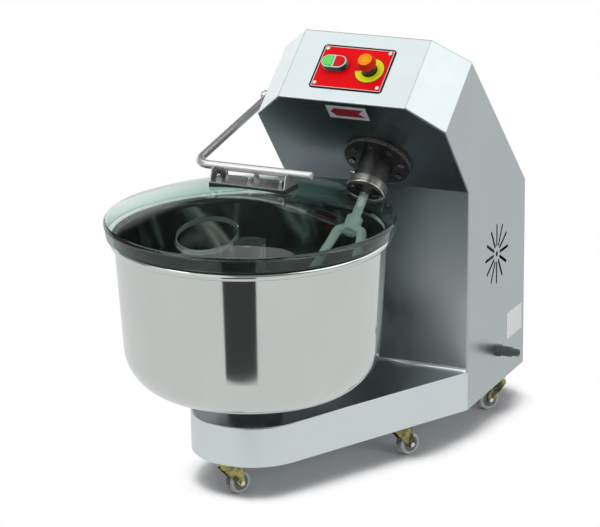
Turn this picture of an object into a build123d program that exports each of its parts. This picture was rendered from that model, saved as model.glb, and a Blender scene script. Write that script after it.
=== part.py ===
"""Fork dough mixer: castored plinth, leaning column, turning bowl, inclined fork and lift-up lid."""

import os
from math import cos, radians, sin

from build123d import *

os.makedirs("parts", exist_ok=True)

# Sheet metal
SHEET = 2.0
FOLD_R = 4.0
COVER_T = 2.0
BASE_PLATE_T = 4.0
COVER_FLANGE = 22.0

# Column and plinth
COLUMN_W = 440.0
COLUMN_D = 346.0
CASTOR_H = 71.0
PLINTH_H = 89.0
NOSE_R = 136.0
THROAT_H = 411.0
REAR_H = 446.0
HEAD_TILT = 39.0
HEAD_FACE = 284.0
HEAD_DEPTH = 187.0
HEAD_CHAMFER = 73.0

# Bowl
BOWL_SIDE = 122.0
BOWL_FORWARD = 372.0
BOWL_R = 286.0
BOWL_FOOT_R = 268.0
BOWL_CORNER_R = 97.0
BOWL_H = 328.0
BOWL_T = 2.5
BOWL_GAP = 52.0
RIM_BEAD_R = 10.0
POST_R = 34.0
POST_H = 312.0

# Lid and its arm
LID_R = 308.0
LID_TAPER = 5.0
LID_T = 4.0
SKIRT_H = 30.0
LID_EDGE_R = 8.0
LID_RIM_GAP = 2.0
DOME_RISE = 58.0
SHAFT_NOTCH_R = 52.0
FILL_HOLE_R = 62.0
FILL_HOLE_EDGE = 24.0
FILL_HOLE_SIDE = 14.0
FILL_LIP_H = 6.0
BRACKET_L = 174.0
BRACKET_SIDE = 7.0
BRACKET_D = 64.0
BRACKET_T = 2.5
BRACKET_BACK = 32.0
GASKET_T = 4.0
ARM_R = 9.0
ARM_LIFT = 27.0
ARM_BEND_R = 34.0
ARM_CLEAR = 46.0
ARM_OVERHANG = 50.0
PIVOT_BACK = 20.0
PIVOT_H = 577.0
PIVOT_PIN_R = 5.5
PIVOT_HUB_R = 11.5
PIVOT_HUB_L = 22.0
CAP_NUT_AF = 12.0
CAP_NUT_H = 15.0
CAP_NUT_PITCH = 73.0

# Fork shaft unit
FORK_SIDE = 33.5
FORK_UP = 94.0
FLANGE_R = 75.0
FLANGE_T = 11.0
FLANGE_SCREW_INSET = 17.0
NECK_R = 37.5
NECK_L = 59.0
RING_R = 44.0
RING_L = 24.0
RING_GROOVE = 2.0
RING_LIP = 5.0
SEAL_R = 42.0
SEAL_T = 5.0
SEAL_SCREW_INSET = 9.0
SHAFT_R = 10.0
FORK_BOSS_AT = 181.0
FORK_BOSS_R = 18.0
FORK_BOSS_L = 36.0
TINE_R = 10.0
TINE_REACH = 325.0
TINE_SPREAD = 62.0
TINE_ROOT = 28.0
TINE_TIP = 46.0
TINE_BOW = 215.0
TINE_BEND_R = 14.0
TINE_BOW_R = 240.0
SCREW_R = 6.5
SCREW_H = 4.0
SHAFT_BEARING_R = 23.5
SHAFT_BEARING_W = 14.0

# Worm drives
WORM_CENTRES = 62.0
WORM_R = 15.5
WHEEL_T = 26.0
WORM_GAP = 0.5
WHEEL_TEETH = 24
WORM_L = 70.0
WORM_TURNS = 7
TOOTH_H = 4.0
TOOTH_GAP = 5.0
GEARBOX_WALL = 9.0
GEARBOX_BACK = 95.0
GEARBOX_FOOT = 41.0
NOSE_BARREL_R = 40.0
SPINDLE_R = 15.0
WORM_SHAFT_R = 9.0

# Motor, pulleys and belts
MOTOR_Y = 171.0
MOTOR_Z = 384.0
MOTOR_R = 74.0
MOTOR_NOSE_GAP = 20.0
MOTOR_WALL_GAP = 26.0
MOTOR_FOOT_W = 120.0
MOTOR_FOOT_L = 112.0
MOTOR_FOOT_H = 9.0
MOTOR_EDGE = 9.0
TERMINAL_L = 75.0
TERMINAL_W = 74.0
TERMINAL_H = 22.0
MOTOR_SHAFT_R = 12.0
SHELF_T = 5.0
SHELF_D = 174.0
PULLEY_W = 20.0
BELT_W = 13.0
BELT_T = 9.0
FORK_BELT_X = -62.0
LAY_BELT_X = -92.0
BOWL_BELT_X = -18.0
MOTOR_PULLEY_R = 30.0
MOTOR_LAY_R = 24.0
FORK_PULLEY_R = 74.0
LAY_PULLEY_R = 35.0
LAY_DRIVE_R = 22.0
BOWL_PULLEY_R = 34.0
LAY_Y = 90.0
LAY_SHAFT_R = 10.0
LAY_BLOCK_W = 20.0
LAY_BLOCK_R = 20.0

# Bowl hub
HUB_R = 84.0
HUB_T = 12.0
HUB_NECK_R = 30.0
BEARING_BOX_R = 58.0
BEARING_BOX_H = 26.0
BEARING_R = 31.0
BEARING_W = 16.0

# Control panel
PANEL_W = 169.0
PANEL_H = 117.0
PANEL_T = 2.0
PANEL_SIDE = -3.0
PANEL_UP = 90.5
PANEL_CORNER_R = 8.0
PANEL_SCREW_INSET = 12.0
SMALL_SCREW_R = 4.0
SMALL_SCREW_H = 2.5
BUTTON_UP = 5.5
TWIN_AT = -42.0
TWIN_W = 58.0
TWIN_H = 34.0
TWIN_RIM = 3.0
TWIN_DIVIDER = 4.0
BEZEL_T = 14.0
BUTTON_OUT = 1.5
BUTTON_TRAVEL = 3.0
ESTOP_AT = 40.0
ESTOP_UP = -1.5
ESTOP_R = 21.0
ESTOP_TOP_R = 16.5
ESTOP_RING_R = 33.0
ESTOP_RING_GAP = 110.0
ESTOP_RING_TURN = 135.0
ESTOP_COLLAR_R = 16.0
ESTOP_COLLAR_H = 16.0
ESTOP_CAP_H = 17.0
ESTOP_TRAVEL = 5.0
STEM_R = 8.0
STEM_L = 26.0

# Labels, vent and cable gland
ARROW_W = 92.0
ARROW_H = 42.0
ARROW_SIDE = 6.0
ARROW_UP = 250.0
LABEL_W = 94.0
LABEL_H = 62.0
LABEL_Y = 284.0
LABEL_Z = 191.0
LABEL_T = 0.6
VENT_Y = 171.0
VENT_Z = 384.0
VENT_SLOTS = 12
VENT_OUTER_R = 70.0
VENT_INNER_R = 18.0
VENT_SLOT_W = 7.0
VENT_HOLE_R = 6.0
GLAND_Y = 180.0
GLAND_Z = 153.0
GLAND_R = 14.0
GLAND_DOME_R = 11.5
GLAND_TAIL_R = 8.5
GLAND_HEX_L = 10.0
GLAND_TAIL_L = 16.0
GLAND_OUT = 52.0
GLAND_THREAD_R = 10.0
GLAND_NUT_T = 6.0
CABLE_R = 5.0

# Castors
CASTOR_PLATE = 40.0
CASTOR_PLATE_T = 3.0
CASTOR_INSET = 21.0
CASTOR_TRAIL = 20.0
WHEEL_R = 25.0
WHEEL_W = 24.0
YOKE_T = 2.5
YOKE_INSIDE = 28.0
CROWN_R = 20.0
CROWN_H = 9.0
KING_PIN_R = 5.0
AXLE_R = 4.0
AXLE_HEAD_R = 5.5
AXLE_HEAD_H = 4.0

# Fits
RUN = 0.05
SLIP = 0.3
CLEAR = 2.0

# Frame: the origin is on the floor, under the middle of the bounding box
CX = (BOWL_SIDE + LID_R - COLUMN_W / 2 - GLAND_OUT) / 2
CY = (BOWL_FORWARD + LID_R - COLUMN_D - COVER_T - SMALL_SCREW_H) / 2
BX = CX - BOWL_SIDE
BY = CY - BOWL_FORWARD
LEFT = CX - COLUMN_W / 2
RIGHT = CX + COLUMN_W / 2
REAR = CY + COLUMN_D

# Heights
PLINTH_TOP = CASTOR_H + PLINTH_H
FLOOR_IN = CASTOR_H + BASE_PLATE_T
THROAT_Z = PLINTH_TOP + THROAT_H
REAR_Z = CASTOR_H + REAR_H
BOWL_Z = PLINTH_TOP + BOWL_GAP
RIM_Z = BOWL_Z + BOWL_H
SKIRT_Z = RIM_Z + RIM_BEAD_R + LID_RIM_GAP
DOME_Z = SKIRT_Z + SKIRT_H
APEX_Z = DOME_Z + DOME_RISE
ARM_Z = APEX_Z + GASKET_T + BRACKET_T + ARM_LIFT
PIVOT_Y = CY + PIVOT_BACK
PIVOT_Z = PLINTH_TOP + PIVOT_H
ARM_X = LEFT - ARM_CLEAR
ARM_Y = BY + BRACKET_BACK
BRACKET_X = BX - BRACKET_SIDE

# Planes: the head's underside, its panel, the column's right side and the bowl's half section
OUT = Vector(0, -cos(radians(HEAD_TILT)), -sin(radians(HEAD_TILT)))
UP = Vector(0, -sin(radians(HEAD_TILT)), cos(radians(HEAD_TILT)))
THROAT = Vector(CX, CY, THROAT_Z)
PANEL_FOOT = THROAT + UP * HEAD_FACE
RIDGE = PANEL_FOOT - OUT * HEAD_DEPTH
FORK_AT = THROAT + UP * FORK_UP + Vector(FORK_SIDE, 0, 0)
HEAD = Plane(origin=THROAT, x_dir=(1, 0, 0), z_dir=OUT)
PANEL = Plane(origin=PANEL_FOOT + Vector(PANEL_SIDE, 0, 0) - OUT * PANEL_UP, x_dir=(1, 0, 0), z_dir=UP)
TWIN = Plane(origin=PANEL.from_local_coords(Vector(TWIN_AT, BUTTON_UP, 0)), x_dir=(1, 0, 0), z_dir=UP)
ESTOP = Plane(origin=PANEL.from_local_coords(Vector(ESTOP_AT, ESTOP_UP, 0)), x_dir=(1, 0, 0), z_dir=UP)
FORK = Plane(origin=FORK_AT, x_dir=(1, 0, 0), z_dir=OUT)
SIDE = Plane(origin=(RIGHT, CY, 0), x_dir=(0, 1, 0), z_dir=(1, 0, 0))
BOWL_HALF = Plane(origin=(BX, BY, 0), x_dir=(1, 0, 0), z_dir=(0, -1, 0))
BOWL_AXIS = Axis((BX, BY, 0), (0, 0, 1))

# Worm drives: each wheel turns on its plane's Z, and its worm lies along X on the -Y side
WHEEL_R_OUT = WORM_CENTRES - WORM_R - WORM_GAP
FORK_DRIVE = Plane(origin=FORK_AT - OUT * GEARBOX_BACK, x_dir=(1, 0, 0), z_dir=OUT)
BOWL_DRIVE_Z = FLOOR_IN + GEARBOX_FOOT
BOWL_DRIVE = Plane(origin=(BX, BY, BOWL_DRIVE_Z), x_dir=(-1, 0, 0), z_dir=(0, 0, 1))
FORK_WORM_AT = FORK_DRIVE.from_local_coords(Vector(0, -WORM_CENTRES, 0))
BOWL_WORM_AT = BOWL_DRIVE.from_local_coords(Vector(0, -WORM_CENTRES, 0))
MOTOR_AT = Vector(CX, CY + MOTOR_Y, MOTOR_Z)
LAY_AT = Vector(CX, CY + LAY_Y, BOWL_DRIVE_Z)

# Where the button stems pass the panel
BUTTON_SIDE = TWIN_W / 4
STEMS = ((TWIN_AT - BUTTON_SIDE, BUTTON_UP), (TWIN_AT + BUTTON_SIDE, BUTTON_UP), (ESTOP_AT, ESTOP_UP))

# Castor places from the column's front centre, with the way each wheel trails
CASTOR_SIDE = COLUMN_W / 2 - CASTOR_INSET
CASTORS = {
    "front": (-124.0, -489.0, 60.0),
    "middle_right": (118.0, -142.0, 60.0),
    "middle_left": (-CASTOR_SIDE, -138.0, 60.0),
    "rear_right": (CASTOR_SIDE, 220.0, -128.0),
    "rear_left": (-CASTOR_SIDE, 220.0, -128.0),
}


def save(builder, name):
    """Label a finished piece and write it under its node's name."""
    builder.part.label = name
    export_step(builder.part, f"parts/{name}.step")


def across(x, at):
    """Plane across the X axis at a distance x from the column's middle, centred on a shaft."""
    return Plane(origin=(CX + x, at.Y, at.Z), x_dir=(0, 1, 0), z_dir=(1, 0, 0))


def plan_outline():
    """Outline of the plinth in plan: the column's front edge drawn round to the nose."""
    with Locations((BX, BY)):
        Circle(NOSE_R)
    with Locations((CX, CY - SHEET / 2)):
        Rectangle(COLUMN_W, SHEET)
    make_hull()


# Column casing, folded from sheet, open below and with a window at the back
with BuildPart() as column_casing:
    with BuildSketch(Plane.YZ.offset(LEFT)):
        with BuildLine():
            Polyline(
                (CY, CASTOR_H),
                (CY, THROAT_Z),
                (PANEL_FOOT.Y, PANEL_FOOT.Z),
                (RIDGE.Y, RIDGE.Z),
                (REAR, REAR_Z),
                (REAR, CASTOR_H),
                close=True,
            )
        make_face()
    extrude(amount=COLUMN_W)
    panel_face = column_casing.faces().sort_by(Axis((0, 0, 0), tuple(UP)))[-1]
    chamfer(panel_face.edges().filter_by(Axis.X, reverse=True), HEAD_CHAMFER)
    folds = column_casing.edges().filter_by_position(Axis.Y, -1000, REAR - 1)
    fillet(folds.filter_by_position(Axis.Z, CASTOR_H + 1, 2000), FOLD_R)
    offset(amount=-SHEET, openings=column_casing.faces().sort_by(Axis.Z)[:1])
    with BuildSketch(Plane.XZ.offset(-REAR)):
        with Locations((CX, (CASTOR_H + REAR_Z) / 2)):
            Rectangle(COLUMN_W - 2 * COVER_FLANGE, REAR_H - 2 * COVER_FLANGE)
    extrude(amount=2 * SHEET, both=True, mode=Mode.SUBTRACT)
    with BuildSketch(FORK):
        Circle(NOSE_BARREL_R + SLIP)
    extrude(amount=2 * SHEET, both=True, mode=Mode.SUBTRACT)
    with BuildSketch(PANEL):
        with Locations(*STEMS):
            Circle(STEM_R + CLEAR)
    extrude(amount=2 * SHEET, both=True, mode=Mode.SUBTRACT)
    with BuildSketch(SIDE):
        with Locations((VENT_Y, VENT_Z)):
            Circle(VENT_HOLE_R)
            with PolarLocations((VENT_INNER_R + VENT_OUTER_R) / 2, VENT_SLOTS):
                SlotOverall(VENT_OUTER_R - VENT_INNER_R, VENT_SLOT_W)
        with Locations((GLAND_Y, GLAND_Z)):
            Circle(GLAND_THREAD_R + SLIP)
    extrude(amount=2 * SHEET, both=True, mode=Mode.SUBTRACT)
    with BuildSketch(Plane.YZ.offset(LEFT)):
        with Locations((PIVOT_Y, PIVOT_Z)):
            Circle(PIVOT_PIN_R)
    extrude(amount=2 * SHEET, both=True, mode=Mode.SUBTRACT)
    with BuildSketch(Plane.XZ.offset(-CY)):
        with Locations((CX + BOWL_BELT_X, LAY_AT.Z)):
            Rectangle(PULLEY_W + 2 * CLEAR, 2 * (BOWL_PULLEY_R + CLEAR))
        with Locations((CX, CASTOR_H)):
            Rectangle(COLUMN_W - 2 * SHEET, 2 * BASE_PLATE_T)
    extrude(amount=FOLD_R, both=True, mode=Mode.SUBTRACT)
save(column_casing, "column_casing")

# Plinth: a folded shell under the bowl, butted to the column's front
with BuildPart() as base_plinth:
    with BuildSketch(Plane.XY.offset(CASTOR_H)):
        plan_outline()
    extrude(amount=PLINTH_H)
    top_edges = base_plinth.faces().sort_by(Axis.Z)[-1].edges()
    fillet(top_edges.sort_by(Axis.Y)[:-1], FOLD_R)
    back_face = base_plinth.faces().sort_by(Axis.Y)[-1]
    offset(amount=-SHEET, openings=[base_plinth.faces().sort_by(Axis.Z)[0], back_face])
    with Locations((BX, BY, PLINTH_TOP)):
        Hole(SPINDLE_R + CLEAR, depth=4 * SHEET)
save(base_plinth, "base_plinth")

# Base plate inside the plinth and column walls, passing under the column's front
with BuildPart() as base_plate:
    with BuildSketch(Plane.XY.offset(CASTOR_H)):
        plan_outline()
        with Locations((CX, CY + COLUMN_D / 2)):
            Rectangle(COLUMN_W, COLUMN_D)
        offset(amount=-SHEET, mode=Mode.REPLACE)
    extrude(amount=BASE_PLATE_T)
save(base_plate, "base_plate")

# Rear cover over the window
COVER_W = COLUMN_W - COVER_FLANGE / 2
COVER_H = REAR_H - COVER_FLANGE / 2
COVER_Z = (CASTOR_H + REAR_Z) / 2
REAR_PLANE = Plane(origin=(CX, REAR, COVER_Z), x_dir=(-1, 0, 0), z_dir=(0, 1, 0))
with BuildPart() as rear_cover:
    with BuildSketch(REAR_PLANE):
        RectangleRounded(COVER_W, COVER_H, FOLD_R)
    extrude(amount=COVER_T)
save(rear_cover, "rear_cover")

# Round-head screws of the control plate and the rear cover
with BuildPart() as panel_screws:
    with BuildSketch(PANEL.offset(PANEL_T)):
        with GridLocations(PANEL_W - 2 * PANEL_SCREW_INSET, PANEL_H - 2 * PANEL_SCREW_INSET, 2, 2):
            Circle(SMALL_SCREW_R)
    with BuildSketch(REAR_PLANE.offset(COVER_T)):
        with GridLocations((COVER_W - COVER_FLANGE) / 2, COVER_H - COVER_FLANGE, 3, 2):
            Circle(SMALL_SCREW_R)
    extrude(amount=SMALL_SCREW_H)
save(panel_screws, "panel_screws")

# Control plate
with BuildPart() as control_plate:
    with BuildSketch(PANEL):
        RectangleRounded(PANEL_W, PANEL_H, PANEL_CORNER_R)
        with Locations(*STEMS):
            Circle(STEM_R + CLEAR, mode=Mode.SUBTRACT)
    extrude(amount=PANEL_T)
save(control_plate, "control_plate")


def button_well(side, slip):
    """Half of the twin button's oval, on one side of its divider."""
    SlotOverall(TWIN_W - 2 * (TWIN_RIM + slip), TWIN_H - 2 * (TWIN_RIM + slip))
    with Locations((side * (TWIN_DIVIDER + TWIN_W + 2 * slip) / 2, 0)):
        Rectangle(TWIN_W, TWIN_H, mode=Mode.INTERSECT)


# Oval housing of the twin button, with a divider between its two wells
with BuildPart() as button_bezel:
    with BuildSketch(TWIN.offset(PANEL_T)):
        SlotOverall(TWIN_W, TWIN_H)
    extrude(amount=BEZEL_T)
    fillet(button_bezel.faces().sort_by(Axis((0, 0, 0), tuple(UP)))[-1].edges(), TWIN_RIM / 2)
    for side in (-1, 1):
        with BuildSketch(TWIN.offset(PANEL_T)):
            button_well(side, 0)
        extrude(amount=BEZEL_T, mode=Mode.SUBTRACT)
save(button_bezel, "button_bezel")

# Start and stop buttons, each a cap on a stem through the plate
CAP_LOW = PANEL_T + BUTTON_TRAVEL + SLIP
for name, side in {"start_button": -1, "stop_button": 1}.items():
    with BuildPart() as button:
        with BuildSketch(TWIN.offset(CAP_LOW)):
            button_well(side, SLIP)
        extrude(amount=PANEL_T + BEZEL_T + BUTTON_OUT - CAP_LOW)
        fillet(button.faces().sort_by(Axis((0, 0, 0), tuple(UP)))[-1].edges(), BUTTON_OUT / 2)
        with BuildSketch(TWIN.offset(CAP_LOW)):
            with Locations((side * BUTTON_SIDE, 0)):
                Circle(STEM_R)
        extrude(amount=-STEM_L)
    save(button, name)

# Open ring on the plate round the emergency button
with BuildPart() as estop_ring:
    with BuildSketch(ESTOP.offset(PANEL_T)):
        Circle(ESTOP_RING_R)
        Circle(ESTOP_COLLAR_R + SLIP, mode=Mode.SUBTRACT)
        with BuildLine():
            spread = 2 * ESTOP_RING_R
            low = radians(ESTOP_RING_TURN - ESTOP_RING_GAP / 2)
            high = radians(ESTOP_RING_TURN + ESTOP_RING_GAP / 2)
            Polyline(
                (0, 0),
                (spread * cos(low), spread * sin(low)),
                (spread * cos(high), spread * sin(high)),
                close=True,
            )
        make_face(mode=Mode.SUBTRACT)
    extrude(amount=LABEL_T)
save(estop_ring, "estop_ring")

# Collar of the emergency button
with BuildPart() as estop_collar:
    with BuildSketch(ESTOP.offset(PANEL_T)):
        Circle(ESTOP_COLLAR_R)
        Circle(STEM_R + SLIP, mode=Mode.SUBTRACT)
    extrude(amount=ESTOP_COLLAR_H)
save(estop_collar, "estop_collar")

# Emergency mushroom button, its underside held off the collar by its travel
CAP_Z = PANEL_T + ESTOP_COLLAR_H + ESTOP_TRAVEL + SLIP
with BuildPart() as estop_button:
    with BuildSketch(ESTOP.offset(CAP_Z)):
        Circle(ESTOP_R)
    with BuildSketch(ESTOP.offset(CAP_Z + ESTOP_CAP_H)):
        Circle(ESTOP_TOP_R)
    loft()
    fillet(estop_button.edges().filter_by(GeomType.CIRCLE), ESTOP_CAP_H / 10)
    with BuildSketch(ESTOP.offset(CAP_Z)):
        Circle(STEM_R)
    extrude(amount=-ESTOP_COLLAR_H - STEM_L)
save(estop_button, "estop_button")

# Labels on the head's underside and on the column's side
with BuildPart() as arrow_label:
    with BuildSketch(HEAD):
        with Locations((ARROW_SIDE, ARROW_UP)):
            Rectangle(ARROW_W, ARROW_H)
    extrude(amount=LABEL_T)
save(arrow_label, "arrow_label")

with BuildPart() as rating_label:
    with BuildSketch(SIDE):
        with Locations((LABEL_Y, LABEL_Z)):
            Rectangle(LABEL_W, LABEL_H)
    extrude(amount=LABEL_T)
save(rating_label, "rating_label")

# Cable gland: hexagon, dome nut and tail outside, thread and lock nut inside
GLAND = Plane(origin=SIDE.from_local_coords(Vector(GLAND_Y, GLAND_Z, 0)), x_dir=(0, 1, 0), z_dir=(1, 0, 0))
with BuildPart() as cable_gland:
    with BuildSketch(GLAND):
        Circle(GLAND_TAIL_R)
    extrude(amount=GLAND_OUT)
    with BuildSketch(GLAND):
        Circle(GLAND_DOME_R)
    extrude(amount=GLAND_OUT - GLAND_TAIL_L)
    shoulder = cable_gland.edges().filter_by(GeomType.CIRCLE).sort_by(SortBy.RADIUS)[-2:].sort_by(Axis.X)[-1]
    fillet(shoulder, (GLAND_DOME_R - GLAND_TAIL_R) / 2)
    with BuildSketch(GLAND):
        RegularPolygon(GLAND_R, 6)
    extrude(amount=GLAND_HEX_L)
    with BuildSketch(GLAND):
        Circle(GLAND_THREAD_R)
    extrude(amount=-SHEET - 2 * GLAND_NUT_T)
    with BuildSketch(GLAND):
        Circle(CABLE_R)
    extrude(amount=2 * GLAND_OUT, both=True, mode=Mode.SUBTRACT)
    with BuildSketch(GLAND.offset(-SHEET - GLAND_NUT_T)):
        RegularPolygon(GLAND_R + CLEAR, 6)
        Circle(GLAND_THREAD_R + RUN, mode=Mode.SUBTRACT)
    extrude(amount=GLAND_NUT_T)
save(cable_gland, "cable_gland")

# Shaft unit on the head's underside, stacked along the fork's axis
NECK_Z = FLANGE_T
RING_Z = NECK_Z + NECK_L
SEAL_Z = RING_Z + RING_L
with BuildPart() as shaft_flange:
    with BuildSketch(FORK):
        Circle(FLANGE_R)
        Circle(SHAFT_R + CLEAR, mode=Mode.SUBTRACT)
    extrude(amount=FLANGE_T)
    chamfer(shaft_flange.edges().filter_by(GeomType.CIRCLE).sort_by(SortBy.RADIUS)[-2:], FLANGE_T / 8)
save(shaft_flange, "shaft_flange")

with BuildPart() as bearing_neck:
    with BuildSketch(FORK.offset(NECK_Z)):
        Circle(NECK_R)
        Circle(SHAFT_BEARING_R, mode=Mode.SUBTRACT)
    extrude(amount=NECK_L)
save(bearing_neck, "bearing_neck")

with BuildPart() as neck_ring:
    with BuildSketch(FORK.offset(RING_Z)):
        Circle(RING_R)
        Circle(SHAFT_R + CLEAR, mode=Mode.SUBTRACT)
    extrude(amount=RING_L)
    fillet(neck_ring.edges().filter_by(GeomType.CIRCLE).sort_by(SortBy.RADIUS)[-2:], RING_L / 10)
    with BuildSketch(FORK.offset(SEAL_Z - RING_LIP - RING_GROOVE)):
        Circle(RING_R + RING_GROOVE)
        Circle(RING_R - RING_GROOVE, mode=Mode.SUBTRACT)
    extrude(amount=RING_GROOVE, mode=Mode.SUBTRACT)
save(neck_ring, "neck_ring")

with BuildPart() as seal_plate:
    with BuildSketch(FORK.offset(SEAL_Z)):
        Circle(SEAL_R)
        Circle(SHAFT_R + RUN, mode=Mode.SUBTRACT)
    extrude(amount=SEAL_T)
save(seal_plate, "seal_plate")

# Socket-head screws of the flange and the seal plate
with BuildPart() as socket_screws:
    with BuildSketch(FORK.offset(FLANGE_T)):
        with PolarLocations(FLANGE_R - FLANGE_SCREW_INSET, 8):
            Circle(SCREW_R)
    with BuildSketch(FORK.offset(SEAL_Z + SEAL_T)):
        with PolarLocations(SEAL_R - SEAL_SCREW_INSET, 3):
            Circle(SCREW_R)
    extrude(amount=SCREW_H)
    with BuildSketch(FORK.offset(FLANGE_T + SCREW_H / 2)):
        with PolarLocations(FLANGE_R - FLANGE_SCREW_INSET, 8):
            RegularPolygon(SCREW_R / 2, 6)
    with BuildSketch(FORK.offset(SEAL_Z + SEAL_T + SCREW_H / 2)):
        with PolarLocations(SEAL_R - SEAL_SCREW_INSET, 3):
            RegularPolygon(SCREW_R / 2, 6)
    extrude(amount=SCREW_H, mode=Mode.SUBTRACT)
save(socket_screws, "socket_screws")

# Bearings in the neck and under the bowl
BEARING_BOX_TOP = PLINTH_TOP + BEARING_BOX_H
with BuildPart() as shaft_bearings:
    with BuildSketch(FORK.offset(NECK_Z + CLEAR), FORK.offset(RING_Z - CLEAR - SHAFT_BEARING_W)):
        Circle(SHAFT_BEARING_R)
        Circle(SHAFT_R + RUN, mode=Mode.SUBTRACT)
    extrude(amount=SHAFT_BEARING_W)
    with BuildSketch(Plane.XY.offset(BEARING_BOX_TOP - CLEAR - BEARING_W)):
        with Locations((BX, BY)):
            Circle(BEARING_R)
            Circle(SPINDLE_R + RUN, mode=Mode.SUBTRACT)
    extrude(amount=BEARING_W)
save(shaft_bearings, "shaft_bearings")

# Fork shaft and mixing fork
GEARBOX_HALF = WORM_R + CLEAR + GEARBOX_WALL
with BuildPart() as fork_shaft:
    with BuildSketch(FORK.offset(-GEARBOX_BACK - GEARBOX_HALF + CLEAR)):
        Circle(SHAFT_R)
    extrude(amount=GEARBOX_BACK + GEARBOX_HALF - CLEAR + FORK_BOSS_AT)
save(fork_shaft, "fork_shaft")

TINES = Plane(origin=FORK_AT, x_dir=(1, 0, 0), z_dir=-UP)
with BuildPart() as mixing_fork:
    with BuildLine(TINES) as tine:
        FilletPolyline(
            (0, FORK_BOSS_AT + TINE_R),
            (TINE_ROOT, FORK_BOSS_AT + TINE_R),
            (TINE_SPREAD, FORK_BOSS_AT + TINE_BOW),
            (TINE_TIP, FORK_BOSS_AT + TINE_REACH),
            radius=[TINE_BEND_R, TINE_BOW_R],
        )
    with BuildSketch(Plane(origin=tine.line @ 0, z_dir=tine.line % 0)):
        Circle(TINE_R)
    sweep()
    fillet(mixing_fork.faces().sort_by(Axis((0, 0, 0), tuple(OUT)))[-1].edges(), TINE_R / 3)
    mirror(about=Plane(origin=FORK_AT, z_dir=(1, 0, 0)))
    with BuildSketch(FORK.offset(FORK_BOSS_AT - FORK_BOSS_L / 2)):
        Circle(FORK_BOSS_R)
    extrude(amount=FORK_BOSS_L)
    with BuildSketch(FORK.offset(FORK_BOSS_AT)):
        Circle(SHAFT_R)
    extrude(amount=-FORK_BOSS_L, mode=Mode.SUBTRACT)
save(mixing_fork, "mixing_fork")


def worm_housing(plane, low, high, bore_r, barrel_l):
    """Gearbox casting round a worm and its wheel, from low to high along the wheel's axis."""
    reach = WHEEL_R_OUT + CLEAR + GEARBOX_WALL
    worm_side = WORM_CENTRES + GEARBOX_HALF
    worm_axis = Plane(plane.from_local_coords(Vector(0, -WORM_CENTRES, 0)), z_dir=plane.x_dir)
    with BuildPart() as casting:
        with BuildSketch(plane.offset(low)):
            with Locations((0, (reach - worm_side) / 2)):
                RectangleRounded(2 * reach, reach + worm_side, GEARBOX_WALL)
        extrude(amount=high - low)
        with BuildSketch(plane):
            Circle(NOSE_BARREL_R)
        extrude(amount=barrel_l)
        with BuildSketch(plane.offset(-WHEEL_T / 2 - CLEAR)):
            Circle(WHEEL_R_OUT + CLEAR)
        extrude(amount=WHEEL_T + 2 * CLEAR, mode=Mode.SUBTRACT)
        with BuildSketch(plane):
            Circle(bore_r + RUN)
        extrude(amount=2 * GEARBOX_BACK, both=True, mode=Mode.SUBTRACT)
        with BuildSketch(worm_axis):
            Circle(WORM_R + CLEAR)
        extrude(amount=WORM_L / 2 + CLEAR, both=True, mode=Mode.SUBTRACT)
        with BuildSketch(worm_axis):
            Circle(WORM_SHAFT_R + RUN)
        extrude(amount=2 * reach, both=True, mode=Mode.SUBTRACT)
    return casting


def worm_wheel(plane, bore_r):
    """Wheel with straight teeth on its rim."""
    with BuildPart() as wheel:
        with BuildSketch(plane.offset(-WHEEL_T / 2)):
            Circle(WHEEL_R_OUT)
            Circle(bore_r, mode=Mode.SUBTRACT)
            with PolarLocations(WHEEL_R_OUT, WHEEL_TEETH):
                Rectangle(2 * TOOTH_H, TOOTH_GAP, mode=Mode.SUBTRACT)
        extrude(amount=WHEEL_T)
    return wheel


def worm(at, inner, outer):
    """Worm shaft along X between two distances from the worm's middle, with rounds of thread."""
    along = Plane(at, z_dir=(1, 0, 0))
    pitch = WORM_L / (WORM_TURNS + 1)
    with BuildPart() as shaft:
        with BuildSketch(along.offset(inner)):
            Circle(WORM_SHAFT_R)
        extrude(amount=outer - inner)
        with BuildSketch(along.offset(-WORM_L / 2)):
            Circle(WORM_R)
        extrude(amount=WORM_L)
        for turn in range(WORM_TURNS):
            with BuildSketch(along.offset((turn + 0.75) * pitch - WORM_L / 2)):
                Circle(WORM_R)
                Circle(WORM_R - TOOTH_H, mode=Mode.SUBTRACT)
            extrude(amount=pitch / 2, mode=Mode.SUBTRACT)
    return shaft


def pulley(grooves, at, bore_r):
    """Belt pulley on a shaft along X, with a groove radius for each distance from the column's middle."""
    with BuildPart() as disc:
        for x, radius in grooves.items():
            with BuildSketch(across(x - PULLEY_W / 2, at)):
                Circle(radius + CLEAR)
            extrude(amount=PULLEY_W)
            with BuildSketch(across(x - BELT_W / 2 - SLIP, at)):
                Circle(radius + 2 * CLEAR)
                Circle(radius - BELT_T, mode=Mode.SUBTRACT)
            extrude(amount=BELT_W + 2 * SLIP, mode=Mode.SUBTRACT)
        with BuildSketch(across(min(grooves) - PULLEY_W / 2, at)):
            Circle(min(grooves.values()) - BELT_T)
        extrude(amount=max(grooves) - min(grooves) + PULLEY_W)
        with BuildSketch(across(min(grooves) - PULLEY_W, at)):
            Circle(bore_r)
        extrude(amount=max(grooves) - min(grooves) + 2 * PULLEY_W, mode=Mode.SUBTRACT)
    return disc


def belt(x, at_a, r_a, at_b, r_b):
    """Belt loop round two pulleys of shafts along X."""
    with BuildPart() as loop:
        for grow, mode in ((0, Mode.ADD), (SLIP - BELT_T, Mode.SUBTRACT)):
            with BuildSketch(across(x - BELT_W / 2, at_a)):
                Circle(r_a + grow)
                with Locations((at_b.Y - at_a.Y, at_b.Z - at_a.Z)):
                    Circle(r_b + grow)
                make_hull()
            extrude(amount=BELT_W, mode=mode)
    return loop


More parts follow.
